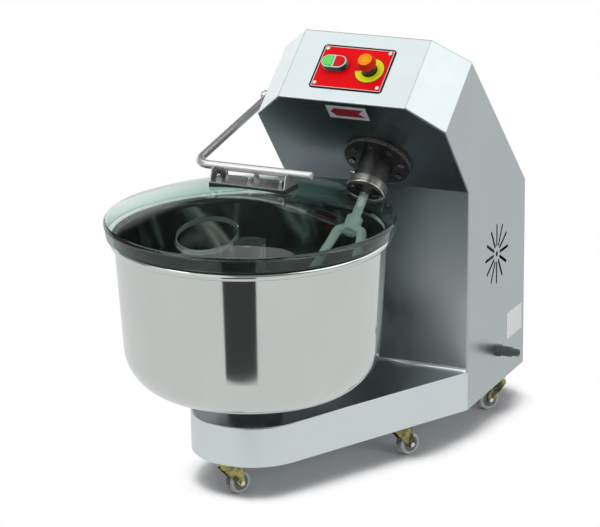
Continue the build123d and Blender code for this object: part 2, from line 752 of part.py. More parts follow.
# Fork drive: gearbox with its barrel through the head's underside, wheel, worm and pulley
FORK_PULLEY_OUT = FORK_SIDE - FORK_BELT_X + PULLEY_W / 2
save(worm_housing(FORK_DRIVE, -GEARBOX_HALF, GEARBOX_HALF, SHAFT_R, GEARBOX_BACK), "fork_gearbox")
save(worm_wheel(FORK_DRIVE, SHAFT_R), "fork_wheel")
save(worm(FORK_WORM_AT, -FORK_PULLEY_OUT, WORM_L / 2 + GEARBOX_WALL), "fork_worm")
save(pulley({FORK_BELT_X: FORK_PULLEY_R}, FORK_WORM_AT, WORM_SHAFT_R), "fork_pulley")

# Bowl drive: gearbox on the base plate, wheel, worm and pulley
BOWL_PULLEY_OUT = BOWL_SIDE + BOWL_BELT_X + PULLEY_W / 2
save(worm_housing(BOWL_DRIVE, -GEARBOX_FOOT, GEARBOX_HALF, SPINDLE_R, GEARBOX_HALF), "bowl_gearbox")
save(worm_wheel(BOWL_DRIVE, SPINDLE_R), "bowl_wheel")
save(worm(BOWL_WORM_AT, -WORM_L / 2 - GEARBOX_WALL, BOWL_PULLEY_OUT), "bowl_worm")
save(pulley({BOWL_BELT_X: BOWL_PULLEY_R}, BOWL_WORM_AT, WORM_SHAFT_R), "bowl_pulley")

# Motor with feet and terminal box, on a shelf across the column
MOTOR_END = COLUMN_W / 2 - SHEET - MOTOR_WALL_GAP
MOTOR_L = MOTOR_END - FORK_BELT_X - PULLEY_W / 2 - MOTOR_NOSE_GAP
SHELF_Z = MOTOR_Z - MOTOR_R - MOTOR_FOOT_H
SHAFT_IN = MOTOR_END - MOTOR_L / 2
with BuildPart() as motor:
    with BuildSketch(across(MOTOR_END - MOTOR_L, MOTOR_AT)):
        Circle(MOTOR_R)
    extrude(amount=MOTOR_L)
    chamfer(motor.edges().filter_by(GeomType.CIRCLE), MOTOR_EDGE)
    with BuildSketch(Plane.XY.offset(SHELF_Z)):
        with Locations((CX + SHAFT_IN, CY + MOTOR_Y)):
            Rectangle(MOTOR_FOOT_L, MOTOR_FOOT_W)
    extrude(amount=MOTOR_FOOT_H + MOTOR_R / 2)
    with BuildSketch(Plane.XY.offset(MOTOR_Z)):
        with Locations((CX + SHAFT_IN, CY + MOTOR_Y)):
            Rectangle(TERMINAL_L, TERMINAL_W)
    extrude(amount=MOTOR_R + TERMINAL_H)
    with BuildSketch(across(SHAFT_IN, MOTOR_AT)):
        Circle(MOTOR_SHAFT_R + RUN)
    extrude(amount=-MOTOR_L, mode=Mode.SUBTRACT)
save(motor, "motor")

with BuildPart() as motor_shelf:
    with BuildSketch(Plane.XY.offset(SHELF_Z)):
        with Locations((CX, CY + MOTOR_Y)):
            Rectangle(COLUMN_W - 2 * SHEET, SHELF_D)
        with Locations((CX + LAY_BELT_X, CY + (MOTOR_Y + LAY_Y) / 2)):
            Rectangle(PULLEY_W + 2 * CLEAR, MOTOR_Y - LAY_Y + 2 * LAY_PULLEY_R, mode=Mode.SUBTRACT)
    extrude(amount=-SHELF_T)
save(motor_shelf, "motor_shelf")

with BuildPart() as motor_shaft:
    with BuildSketch(across(SHAFT_IN, MOTOR_AT)):
        Circle(MOTOR_SHAFT_R)
    extrude(amount=LAY_BELT_X - PULLEY_W / 2 - SHAFT_IN)
save(motor_shaft, "motor_shaft")
motor_grooves = {FORK_BELT_X: MOTOR_PULLEY_R, LAY_BELT_X: MOTOR_LAY_R}
save(pulley(motor_grooves, MOTOR_AT, MOTOR_SHAFT_R), "motor_pulley")

# Layshaft with its two pulleys, on two bearing blocks
BLOCK_STEP = PULLEY_W / 2 + 3 * CLEAR
BLOCK_XS = (LAY_BELT_X - BLOCK_STEP - LAY_BLOCK_W, BOWL_BELT_X + BLOCK_STEP)
lay_in = pulley({LAY_BELT_X: LAY_PULLEY_R}, LAY_AT, LAY_SHAFT_R)
lay_out = pulley({BOWL_BELT_X: LAY_DRIVE_R}, LAY_AT, LAY_SHAFT_R)
with BuildPart() as layshaft:
    with BuildSketch(across(BLOCK_XS[0], LAY_AT)):
        Circle(LAY_SHAFT_R)
    extrude(amount=BLOCK_XS[1] + LAY_BLOCK_W - BLOCK_XS[0])
    add(lay_in.part)
    add(lay_out.part)
save(layshaft, "layshaft")

with BuildPart() as lay_blocks:
    for x in BLOCK_XS:
        with BuildSketch(across(x, LAY_AT)):
            Circle(LAY_BLOCK_R)
            with Locations((0, (FLOOR_IN - LAY_AT.Z) / 2)):
                Rectangle(2 * LAY_BLOCK_R, LAY_AT.Z - FLOOR_IN)
            Circle(LAY_SHAFT_R + RUN, mode=Mode.SUBTRACT)
        extrude(amount=LAY_BLOCK_W)
save(lay_blocks, "lay_blocks")

# Belts
fork_loop = belt(FORK_BELT_X, MOTOR_AT, MOTOR_PULLEY_R, FORK_WORM_AT, FORK_PULLEY_R)
lay_loop = belt(LAY_BELT_X, MOTOR_AT, MOTOR_LAY_R, LAY_AT, LAY_PULLEY_R)
bowl_loop = belt(BOWL_BELT_X, LAY_AT, LAY_DRIVE_R, BOWL_WORM_AT, BOWL_PULLEY_R)
with BuildPart() as v_belts:
    add(fork_loop.part)
    add(lay_loop.part)
    add(bowl_loop.part)
save(v_belts, "v_belts")

# Bowl with its rolled rim
with BuildPart() as bowl:
    with BuildSketch(BOWL_HALF) as bowl_wall:
        with BuildLine():
            Polyline(
                (0, BOWL_Z),
                (BOWL_FOOT_R, BOWL_Z),
                (BOWL_R, RIM_Z),
                (BOWL_R - BOWL_T, RIM_Z),
                (BOWL_FOOT_R - BOWL_T, BOWL_Z + BOWL_T),
                (0, BOWL_Z + BOWL_T),
                close=True,
            )
        make_face()
        fillet(bowl_wall.vertices().group_by(Axis.Y)[1].sort_by(Axis.X)[-1], BOWL_CORNER_R - BOWL_T)
        fillet(bowl_wall.vertices().group_by(Axis.Y)[0].sort_by(Axis.X)[-1], BOWL_CORNER_R)
        with Locations((BOWL_R, RIM_Z)):
            Circle(RIM_BEAD_R)
    revolve(axis=BOWL_AXIS)
save(bowl, "bowl")

with BuildPart() as bowl_post:
    with BuildSketch(Plane.XY.offset(BOWL_Z + BOWL_T)):
        with Locations((BX, BY)):
            Circle(POST_R)
    extrude(amount=POST_H)
    fillet(bowl_post.faces().sort_by(Axis.Z)[-1].edges(), POST_R / 8)
save(bowl_post, "bowl_post")

with BuildPart() as bowl_hub:
    with BuildSketch(Plane.XY.offset(BOWL_Z)):
        with Locations((BX, BY)):
            Circle(HUB_R)
    extrude(amount=-HUB_T)
    with BuildSketch(Plane.XY.offset(BOWL_Z)):
        with Locations((BX, BY)):
            Circle(HUB_NECK_R)
    extrude(amount=BEARING_BOX_TOP + SLIP - BOWL_Z)
    with BuildSketch(Plane.XY.offset(BOWL_Z)):
        with Locations((BX, BY)):
            Circle(SPINDLE_R)
    extrude(amount=-BOWL_GAP, mode=Mode.SUBTRACT)
save(bowl_hub, "bowl_hub")

with BuildPart() as bowl_spindle:
    with BuildSketch(Plane.XY.offset(BOWL_Z)):
        with Locations((BX, BY)):
            Circle(SPINDLE_R)
    extrude(amount=FLOOR_IN + CLEAR - BOWL_Z)
save(bowl_spindle, "bowl_spindle")

with BuildPart() as bearing_box:
    with BuildSketch(Plane.XY.offset(PLINTH_TOP)):
        with Locations((BX, BY)):
            Circle(BEARING_BOX_R)
            Circle(BEARING_R, mode=Mode.SUBTRACT)
    extrude(amount=BEARING_BOX_H)
    fillet(bearing_box.faces().sort_by(Axis.Z)[-1].outer_wire().edges(), BEARING_BOX_H / 4)
save(bearing_box, "bearing_box")

# Lid: a dome on a short skirt, with a filling hole in front and a notch for the fork shaft behind
DOME_R = (LID_R**2 + DOME_RISE**2) / (2 * DOME_RISE)
DOME_CENTRE = APEX_Z - DOME_R


def dome_z(r, drop):
    """Height of the dome at radius r from the bowl's axis, a little below its outside."""
    return DOME_CENTRE + ((DOME_R - drop) ** 2 - r**2) ** 0.5


with BuildPart() as dome_core:
    with BuildSketch(BOWL_HALF):
        with BuildLine():
            ThreePointArc((LID_R, DOME_Z), (LID_R / 2, dome_z(LID_R / 2, 0)), (0, APEX_Z))
            Polyline((0, APEX_Z), (0, SKIRT_Z), (LID_R - LID_TAPER, SKIRT_Z), (LID_R, DOME_Z))
        make_face()
    revolve(axis=BOWL_AXIS)

FILL_HOLE_FORWARD = LID_R - FILL_HOLE_R - FILL_HOLE_EDGE
FILL_AT = (BX + FILL_HOLE_SIDE, BY - FILL_HOLE_FORWARD)
with BuildPart() as fill_lip:
    with BuildSketch(Plane.XY.offset(SKIRT_Z)):
        with Locations(FILL_AT):
            Circle(FILL_HOLE_R + LID_T)
    extrude(amount=SKIRT_H + DOME_RISE)
    add(dome_core.part, mode=Mode.INTERSECT)
    add(dome_core.part.moved(Location((0, 0, -LID_T - FILL_LIP_H))), mode=Mode.SUBTRACT)

NOTCH_ALONG = (DOME_Z - FORK_AT.Z) / OUT.Z
NOTCH_Y = FORK_AT.Y + OUT.Y * NOTCH_ALONG + SHAFT_NOTCH_R / 6
with BuildPart() as lid:
    with BuildSketch(BOWL_HALF) as lid_wall:
        with BuildLine():
            inner_r = LID_R - LID_T
            mid = LID_R / 2
            ThreePointArc((LID_R, DOME_Z), (mid, dome_z(mid, 0)), (0, APEX_Z))
            Line((0, APEX_Z), (0, APEX_Z - LID_T))
            ThreePointArc((0, APEX_Z - LID_T), (mid, dome_z(mid, LID_T)), (inner_r, dome_z(inner_r, LID_T)))
            Polyline(
                (inner_r, dome_z(inner_r, LID_T)),
                (inner_r - LID_TAPER, SKIRT_Z),
                (LID_R - LID_TAPER, SKIRT_Z),
                (LID_R, DOME_Z),
            )
        make_face()
        fillet(lid_wall.vertices().sort_by(Axis.X)[-1], LID_EDGE_R)
    revolve(axis=BOWL_AXIS)
    add(fill_lip.part)
    with BuildSketch(Plane.XY.offset(SKIRT_Z - CLEAR)):
        with Locations(FILL_AT):
            Circle(FILL_HOLE_R)
        with Locations((FORK_AT.X, NOTCH_Y)):
            Circle(SHAFT_NOTCH_R)
        with Locations((FORK_AT.X, NOTCH_Y + LID_R / 2)):
            Rectangle(2 * SHAFT_NOTCH_R, LID_R)
    extrude(amount=SKIRT_H + DOME_RISE + 2 * CLEAR, mode=Mode.SUBTRACT)
save(lid, "lid")

# Rubber pad under the lid's bracket, shaped to the dome
BRACKET_Z = APEX_Z + GASKET_T
with BuildPart() as lid_gasket:
    with BuildSketch(Plane.XY.offset(BRACKET_Z)):
        with Locations((BRACKET_X, ARM_Y)):
            RectangleRounded(BRACKET_L + GASKET_T, BRACKET_D + GASKET_T, GASKET_T)
    extrude(amount=-3 * GASKET_T)
    add(dome_core.part, mode=Mode.SUBTRACT)
save(lid_gasket, "lid_gasket")

# Folded bracket: a plate with two upturned ends that carry the arm
with BuildPart() as lid_bracket:
    with BuildSketch(Plane.XY.offset(BRACKET_Z)):
        with Locations((BRACKET_X, ARM_Y)):
            Rectangle(BRACKET_L, BRACKET_D)
    extrude(amount=BRACKET_T)
    for x in (BRACKET_X - BRACKET_L / 2, BRACKET_X + BRACKET_L / 2 - BRACKET_T):
        with BuildSketch(Plane.YZ.offset(x)):
            with BuildLine():
                Polyline(
                    (ARM_Y - BRACKET_D / 2, BRACKET_Z),
                    (ARM_Y - BRACKET_D / 3, ARM_Z),
                    (ARM_Y + BRACKET_D / 3, ARM_Z),
                    (ARM_Y + BRACKET_D / 2, BRACKET_Z),
                    close=True,
                )
            make_face()
            with Locations((ARM_Y, ARM_Z)):
                Circle(ARM_R, mode=Mode.SUBTRACT)
        extrude(amount=BRACKET_T)
save(lid_bracket, "lid_bracket")

# Cap nuts on the bracket
with BuildPart() as lid_nuts:
    with BuildSketch(Plane.XY.offset(BRACKET_Z + BRACKET_T)):
        with Locations((BRACKET_X, ARM_Y)):
            with GridLocations(CAP_NUT_PITCH, BRACKET_D / 2, 3, 2):
                RegularPolygon(CAP_NUT_AF / 2, 6, major_radius=False)
    extrude(amount=CAP_NUT_H / 2)
    with BuildSketch(Plane.XY.offset(BRACKET_Z + BRACKET_T)):
        with Locations((BRACKET_X, ARM_Y)):
            with GridLocations(CAP_NUT_PITCH, BRACKET_D / 2, 3, 2):
                Circle(CAP_NUT_AF * 0.45)
    extrude(amount=CAP_NUT_H)
    fillet(lid_nuts.faces().sort_by(Axis.Z)[-6:].edges(), CAP_NUT_AF * 0.4)
save(lid_nuts, "lid_nuts")

# Lid arm: a bent tube with a closed end, welded to its pivot hub
ARM_PIVOT = Plane(origin=(ARM_X - PIVOT_HUB_L / 2, PIVOT_Y, PIVOT_Z), x_dir=(0, 1, 0), z_dir=(1, 0, 0))
with BuildPart() as lid_arm:
    with BuildLine() as arm_path:
        FilletPolyline(
            (BRACKET_X + BRACKET_L / 2 + ARM_OVERHANG, ARM_Y, ARM_Z),
            (ARM_X, ARM_Y, ARM_Z),
            (ARM_X, PIVOT_Y, PIVOT_Z),
            radius=ARM_BEND_R,
        )
    with BuildSketch(Plane(origin=arm_path.line @ 0, z_dir=arm_path.line % 0)):
        Circle(ARM_R)
    sweep()
    fillet(lid_arm.faces().sort_by(Axis.X)[-1].edges(), ARM_R / 3)
    with BuildSketch(ARM_PIVOT):
        Circle(PIVOT_HUB_R)
    extrude(amount=PIVOT_HUB_L)
    with BuildSketch(ARM_PIVOT):
        Circle(PIVOT_PIN_R + RUN)
    extrude(amount=PIVOT_HUB_L, mode=Mode.SUBTRACT)
save(lid_arm, "lid_arm")

# Pivot pin in the column's left side, with a boss inside the hub and a head outside it
HUB_NEAR = ARM_X + PIVOT_HUB_L / 2 + SLIP
HUB_FAR = ARM_X - PIVOT_HUB_L / 2 - SLIP
with BuildPart() as lid_pivot_pin:
    with BuildSketch(Plane.YZ.offset(LEFT)):
        with Locations((PIVOT_Y, PIVOT_Z)):
            Circle(PIVOT_HUB_R)
    extrude(amount=HUB_NEAR - LEFT)
    with BuildSketch(Plane.YZ.offset(LEFT + SHEET + PIVOT_PIN_R)):
        with Locations((PIVOT_Y, PIVOT_Z)):
            Circle(PIVOT_PIN_R)
    extrude(amount=HUB_FAR - PIVOT_PIN_R - LEFT - SHEET)
    with BuildSketch(Plane.YZ.offset(HUB_FAR)):
        with Locations((PIVOT_Y, PIVOT_Z)):
            Circle(1.6 * PIVOT_PIN_R)
    extrude(amount=-PIVOT_PIN_R)
    fillet(lid_pivot_pin.faces().sort_by(Axis.X)[0].edges(), PIVOT_PIN_R / 3)
save(lid_pivot_pin, "lid_pivot_pin")

# Castors: fixed plates with their king pins, then a fork with its axle bolt and a wheel for each
CROWN_TOP = CASTOR_H - CASTOR_PLATE_T - SLIP
CROWN_LOW = CROWN_TOP - CROWN_H
with BuildPart() as castor_plates:
    for x, y, _ in CASTORS.values():
        with BuildSketch(Plane.XY.offset(CASTOR_H)):
            with Locations((CX + x, CY + y)):
                RectangleRounded(CASTOR_PLATE, CASTOR_PLATE, CASTOR_PLATE / 10)
        extrude(amount=-CASTOR_PLATE_T)
        with BuildSketch(Plane.XY.offset(CASTOR_H)):
            with Locations((CX + x, CY + y)):
                Circle(KING_PIN_R)
        extrude(amount=CROWN_LOW - SLIP - CASTOR_H)
        with BuildSketch(Plane.XY.offset(CROWN_LOW - SLIP)):
            with Locations((CX + x, CY + y)):
                Circle(1.7 * KING_PIN_R)
        extrude(amount=-KING_PIN_R / 2)
save(castor_plates, "castor_plates")

for place, (x, y, trail) in CASTORS.items():
    turned = Rotation(0, 0, trail)
    swivel = Plane(Location((CX + x, CY + y, 0)) * turned)
    wheel_at = swivel.from_local_coords(Vector(CASTOR_TRAIL, 0, WHEEL_R))
    axle = Plane(origin=wheel_at, x_dir=swivel.x_dir, z_dir=swivel.y_dir)
    half_in = YOKE_INSIDE / 2
    bolt_end = half_in + YOKE_T + RUN
    with BuildPart() as castor_fork:
        with BuildSketch(swivel.offset(CROWN_LOW)):
            Circle(CROWN_R)
            Circle(KING_PIN_R + RUN, mode=Mode.SUBTRACT)
        extrude(amount=CROWN_H)
        for face in (half_in, -half_in - YOKE_T):
            with BuildSketch(axle.offset(face)):
                Circle(AXLE_HEAD_R + CLEAR)
                with Locations((-CASTOR_TRAIL, WHEEL_R - CROWN_TOP + CROWN_H / 2)):
                    Rectangle(2 * CROWN_R, CROWN_H)
                make_hull()
            extrude(amount=YOKE_T)
        with BuildSketch(axle.offset(-half_in - YOKE_T)):
            Circle(AXLE_R + RUN)
        extrude(amount=YOKE_INSIDE + 2 * YOKE_T, mode=Mode.SUBTRACT)
        with BuildSketch(axle.offset(-bolt_end)):
            Circle(AXLE_R)
        extrude(amount=2 * bolt_end)
        for face in (bolt_end, -bolt_end - AXLE_HEAD_H):
            with BuildSketch(axle.offset(face)):
                RegularPolygon(AXLE_HEAD_R, 6)
            extrude(amount=AXLE_HEAD_H)
    save(castor_fork, f"{place}_castor_fork")
    with BuildPart() as castor_wheel:
        with BuildSketch(axle.offset(-WHEEL_W / 2)):
            Circle(WHEEL_R)
            Circle(AXLE_R + RUN, mode=Mode.SUBTRACT)
        extrude(amount=WHEEL_W)
        rims = castor_wheel.edges().filter_by(GeomType.CIRCLE).sort_by(SortBy.RADIUS)[-2:]
        fillet(rims, WHEEL_W / 5)
        with BuildSketch(axle.offset(-half_in + SLIP)):
            Circle(2 * AXLE_R)
            Circle(AXLE_R + RUN, mode=Mode.SUBTRACT)
        extrude(amount=YOKE_INSIDE - 2 * SLIP)
    save(castor_wheel, f"{place}_castor_wheel")
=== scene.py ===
"""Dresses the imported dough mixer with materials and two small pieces, and sets up the studio and camera."""

from math import cos, pi, radians, sin

import bmesh
import bpy
from mathutils import Matrix, Vector


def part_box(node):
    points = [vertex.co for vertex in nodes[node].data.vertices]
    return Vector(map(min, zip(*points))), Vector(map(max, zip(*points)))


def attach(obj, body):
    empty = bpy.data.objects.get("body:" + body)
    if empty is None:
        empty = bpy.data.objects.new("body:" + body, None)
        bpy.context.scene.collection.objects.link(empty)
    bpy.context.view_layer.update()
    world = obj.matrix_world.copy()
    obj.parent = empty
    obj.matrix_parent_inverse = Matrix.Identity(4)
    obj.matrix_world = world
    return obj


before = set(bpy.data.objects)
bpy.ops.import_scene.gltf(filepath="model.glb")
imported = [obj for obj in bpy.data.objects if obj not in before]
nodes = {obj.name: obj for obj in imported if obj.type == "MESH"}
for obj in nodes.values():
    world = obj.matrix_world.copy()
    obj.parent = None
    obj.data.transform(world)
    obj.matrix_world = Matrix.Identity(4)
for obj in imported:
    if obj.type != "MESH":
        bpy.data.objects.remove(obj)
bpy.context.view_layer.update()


def middle(node):
    """Centre of a CAD node's box."""
    low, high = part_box(node)
    return (low + high) / 2


# Places on the mixer, in metres, and the ways its tilted head faces
RIGHTWARD = Vector((1, 0, 0))
UPRIGHT = Vector((0, 0, 1))
TILT = radians(39)
OUT = Vector((0, -cos(TILT), -sin(TILT)))
UP = Vector((0, -sin(TILT), cos(TILT)))
FLANGE_AT = middle("shaft_flange")
PANEL_AT = middle("control_plate")
TWIN_AT = middle("button_bezel")
ESTOP_AT = middle("estop_collar")
ARROW_AT = middle("arrow_label")
BOWL_AT = middle("bowl")
SKIRT_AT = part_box("lid")[0]
FILL_AT = BOWL_AT + Vector((0.014, -0.222, 0))
WHEEL_TRAILS = {"front": 60, "middle_right": 60, "middle_left": 60, "rear_right": -128, "rear_left": -128}

# Softness of a printed edge and depth of a fine surface texture, in metres
EDGE_SOFT = 0.0002
GRAIN_DEPTH = 0.0002


class Nodes:
    """A node tree with short calls for the nodes that are used most."""

    def __init__(self, tree):
        self.tree = tree

    def node(self, kind, inputs=(), **settings):
        made = self.tree.nodes.new("ShaderNode" + kind)
        for key, value in settings.items():
            setattr(made, key, value)
        for socket, value in dict(inputs).items():
            if isinstance(value, bpy.types.NodeSocket):
                self.tree.links.new(value, made.inputs[socket])
            else:
                made.inputs[socket].default_value = value
        return made

    def math(self, operation, a, b=0.0):
        return self.node("Math", {0: a, 1: b}, operation=operation).outputs[0]

    def both(self, a, b):
        return self.math("MULTIPLY", a, b)

    def either(self, a, b):
        return self.math("MAXIMUM", a, b)

    def mix(self, factor, a, b):
        return self.node("Mix", {0: factor, 6: a, 7: b}, data_type="RGBA").outputs[2]

    def spread(self, value, low, high, to_low, to_high):
        ends = {"From Min": low, "From Max": high, "To Min": to_low, "To Max": to_high}
        return self.node("MapRange", {"Value": value, **ends}).outputs[0]

    def over(self, value, edge, soft=EDGE_SOFT):
        """One where a value is past an edge, nought before it."""
        return self.spread(value, edge - soft, edge + soft, 0.0, 1.0)

    def under(self, value, edge, soft=EDGE_SOFT):
        return self.spread(value, edge - soft, edge + soft, 1.0, 0.0)

    def between(self, value, low, high):
        return self.both(self.over(value, low), self.under(value, high))

    def vector(self, operation, a, b=(0, 0, 0), output=0):
        return self.node("VectorMath", {0: a, 1: b}, operation=operation).outputs[output]


class Shader(Nodes):
    """A principled material under construction."""

    def __init__(self, name, **sockets):
        self.material = bpy.data.materials.new(name)
        self.material.use_nodes = True
        super().__init__(self.material.node_tree)
        self.bsdf = self.tree.nodes["Principled BSDF"]
        for socket, value in sockets.items():
            self.bsdf.inputs[socket.replace("_", " ")].default_value = value
        self.place = self.node("TexCoord").outputs["Object"]

    def set(self, socket, value):
        self.tree.links.new(value, self.bsdf.inputs[socket])

    def noise(self, scale, stretch=(1, 1, 1), detail=3.0):
        where = self.node("Mapping", {"Vector": self.place, "Scale": stretch}).outputs[0]
        return self.node("TexNoise", {"Vector": where, "Scale": scale, "Detail": detail}).outputs[0]

    def along(self, origin, direction):
        """Distance from a point along a direction."""
        return self.vector("DOT_PRODUCT", self.vector("SUBTRACT", self.place, origin), direction, "Value")

    def off_axis(self, origin, direction):
        """Distance from a line."""
        cross = self.vector("CROSS_PRODUCT", self.vector("SUBTRACT", self.place, origin), direction)
        return self.vector("LENGTH", cross, output="Value")

    def facing(self, direction):
        """How far the surface faces a direction, from -1 to 1 where that has a length of one."""
        return self.vector("DOT_PRODUCT", self.node("NewGeometry").outputs["Normal"], direction, "Value")

    def bump(self, height, strength, depth=GRAIN_DEPTH):
        made = self.node("Bump", {"Height": height, "Strength": strength, "Distance": depth})
        self.set("Normal", made.outputs[0])


def shade(colour, factor=1.0):
    return tuple(channel * factor for channel in colour) + (1.0,)


def steel(name, colour, rough, grain, grip=0.05, lines=0.06, depth=GRAIN_DEPTH, relief=0.08, metallic=1.0):
    """Metal with a directional grain, cloudy sheen and slightly uneven gloss."""
    made = Shader(name, Metallic=metallic)
    streaks = made.noise(1.0, grain, 2.0)
    clouds = made.noise(7.0)
    smears = made.noise(38.0, (1, 1, 0.4), 4.0)
    tone = made.mix(streaks, shade(colour, 1 - lines), shade(colour, 1 + lines))
    made.tone = made.mix(made.spread(clouds, 0.35, 0.7, 0.0, 0.35), tone, shade(colour, 0.93))
    made.set("Base Color", made.tone)
    uneven = made.math("ADD", made.both(streaks, 0.6), made.both(smears, 0.4))
    made.set("Roughness", made.spread(uneven, 0.3, 0.7, rough - grip, rough + grip))
    made.bump(streaks, relief, depth)
    return made


def plastic(name, colour, rough, scale=900.0, strength=0.12, wear=0.1, **sockets):
    """Moulded plastic, paint or rubber: fine texture, faint dirt and uneven gloss."""
    made = Shader(name, **sockets)
    skin = made.noise(scale, detail=2.0)
    dirt = made.noise(24.0, detail=5.0)
    soiled = made.spread(dirt, 0.45, 0.75, 0.0, 1.0)
    made.set("Base Color", made.mix(soiled, shade(colour), shade(colour, 1 - wear)))
    made.set("Roughness", made.spread(dirt, 0.3, 0.7, rough - 0.06, rough + 0.08))
    made.bump(skin, strength)
    return made


def dress(shader, *names):
    """Give CAD nodes a material in place of their own."""
    for name in names:
        slots = nodes[name].data.materials
        slots.clear()
        slots.append(shader.material)


# Body sheet: satin steel with a fine grain, with painted shade on the faces under the head over the bowl and
# on the plinth's top
THROAT_FROM, THROAT_FULL = 0.32, 0.60
casing = steel("satin_sheet", (0.46, 0.512, 0.52), 0.32, (240, 240, 30), lines=0.04, relief=0.01)
# Painted shade: faces turned down and forward under the head go darker towards the head, standing in for the
# head's shade
leaning = casing.spread(casing.facing(OUT), 0.3, 0.7, 0.0, 1.0)
raised = casing.spread(casing.along((0, 0, 0), UPRIGHT), THROAT_FROM, THROAT_FULL, 0.0, 1.0)
painted_head_shade = casing.both(leaning, raised)
casing.set("Base Color", casing.mix(painted_head_shade, casing.tone, shade((0.145, 0.18, 0.19))))
dress(casing, "column_casing", "rear_cover", "base_plate", "motor_shelf")
plinth = steel(
    "satin_plinth", (0.70, 0.775, 0.78), 0.30, (12, 12, 400), grip=0.015, lines=0.02, relief=0.005
)
# Painted shade: the plinth's upward-facing top is darkened all over, as if it lay in shade
painted_top_shade = plinth.spread(plinth.facing(UPRIGHT), 0.15, 0.40, 0.0, 1.0)
plinth.set("Base Color", plinth.mix(painted_top_shade, plinth.tone, shade((0.36, 0.41, 0.42))))
dress(plinth, "base_plinth")

# Bowl: polished, with faint turning lines round its axis
bowl = Shader("polished_bowl", Metallic=1.0)
radius = bowl.off_axis(BOWL_AT, UPRIGHT)
height = bowl.along(BOWL_AT, UPRIGHT)
turned = bowl.node("CombineXYZ", {"X": radius, "Z": height}).outputs[0]
rings = bowl.node("TexNoise", {"Vector": turned, "Scale": 900.0, "Detail": 2.0}).outputs[0]
film = bowl.noise(9.0, (1, 1, 0.5), 5.0)
bowl.set("Base Color", bowl.mix(film, shade((0.67, 0.70, 0.675)), shade((0.59, 0.62, 0.605))))
uneven = bowl.math("ADD", bowl.both(rings, 0.5), bowl.both(film, 0.5))
bowl.set("Roughness", bowl.spread(uneven, 0.3, 0.7, 0.05, 0.13))
bowl.bump(rings, 0.06, 0.0001)
dress(bowl, "bowl")
dress(steel("turned_post", (0.70, 0.70, 0.68), 0.22, (60, 60, 900)), "bowl_post")

# Lid: clear greenish sheet, rubbed and dusty in places, dark at its cut edges and outside its skirt
FILL_R = 0.0623
CUT_EDGE = 0.0006
SKIRT_H = 0.028
LID_SHADOW = 0.1
lid = Shader("clear_lid", IOR=1.49)
dust = lid.noise(14.0, detail=6.0)
scuffs = lid.noise(1.0, (90, 700, 90), 2.0)
above = lid.along(SKIRT_AT, UPRIGHT)
hole = lid.under(lid.off_axis(FILL_AT, UPRIGHT), FILL_R)
cut = lid.either(hole, lid.under(above, CUT_EDGE))
upright = lid.under(above, SKIRT_H, 0.004)
radial = lid.vector("MULTIPLY", lid.vector("SUBTRACT", lid.place, BOWL_AT), (1, 1, 0))
outer = lid.over(lid.facing(radial), 0.0)
entered = lid.math("SUBTRACT", 1.0, lid.node("NewGeometry").outputs["Backfacing"])
near = lid.both(lid.both(upright, outer), entered)
lid.set("Specular IOR Level", lid.spread(upright, 0.0, 1.0, 0.5, 0.06))
clear = lid.mix(dust, shade((0.76, 0.96, 0.90)), shade((0.69, 0.91, 0.84)))
clear = lid.mix(near, clear, shade((0.05, 0.11, 0.10)))
lid.set("Base Color", lid.mix(cut, clear, shade((0.06, 0.10, 0.09))))
lid.set("Transmission Weight", lid.spread(cut, 0.0, 1.0, 1.0, 0.6))
gloss = lid.spread(lid.both(dust, scuffs), 0.1, 0.4, 0.0, 0.05)
lid.set("Roughness", lid.either(gloss, lid.both(cut, 0.5)))
shadow_ray = lid.node("LightPath").outputs["Is Shadow Ray"]
lid.set("Alpha", lid.spread(shadow_ray, 0.0, 1.0, 1.0, LID_SHADOW))
dress(lid, "lid")

# Shaft unit: black flange and seal plate with rubbed edges, grey neck, nickel ring, pale fork
FLANGE_EDGE = 0.0745
black = Shader("black_oxide", Metallic=0.7)
grit = black.noise(160.0, detail=5.0)
rim = black.over(black.off_axis(FLANGE_AT, OUT), FLANGE_EDGE, 0.0006)
rubbed = black.both(rim, black.spread(grit, 0.4, 0.6, 0.08, 0.35))
oxide = black.mix(grit, shade((0.018, 0.018, 0.018)), shade((0.05, 0.05, 0.048)))
black.set("Base Color", black.mix(rubbed, oxide, shade((0.45, 0.43, 0.39))))
black.set("Roughness", black.spread(grit, 0.3, 0.7, 0.26, 0.44))
black.bump(grit, 0.08)
dress(black, "shaft_flange", "seal_plate")
dress(steel("grey_neck", (0.15, 0.145, 0.14), 0.30, (90, 90, 90)), "bearing_neck")
dress(steel("nickel_ring", (0.46, 0.44, 0.41), 0.22, (300, 300, 300)), "neck_ring")
dress(steel("screw_steel", (0.50, 0.50, 0.50), 0.26, (700, 700, 700)), "panel_screws")
dress(steel("screw_black", (0.20, 0.20, 0.195), 0.24, (700, 700, 700)), "socket_screws")
blasted = steel("blasted_fork", (0.93, 0.94, 0.93), 0.30, (300, 300, 300), metallic=0.3)
dress(blasted, "fork_shaft", "mixing_fork")

# Lid fittings
tube = steel(
    "arm_tube", (0.56, 0.565, 0.56), 0.30, (25, 25, 25), grip=0.02, lines=0.03, relief=0.0, metallic=0.7
)
dress(tube, "lid_arm")
dress(steel("dull_pin", (0.30, 0.30, 0.30), 0.4, (300, 300, 300)), "lid_pivot_pin")
bracket = steel(
    "bracket_sheet", (0.44, 0.44, 0.435), 0.28, (60, 800, 800), lines=0.03, relief=0.02, metallic=0.85
)
dress(bracket, "lid_bracket")
dress(steel("cap_nut_chrome", (0.34, 0.34, 0.335), 0.14, (300, 300, 300), relief=0.02), "lid_nuts")
dress(plastic("gasket_rubber", (0.015, 0.015, 0.016), 0.6, 500.0, 0.2), "lid_gasket")

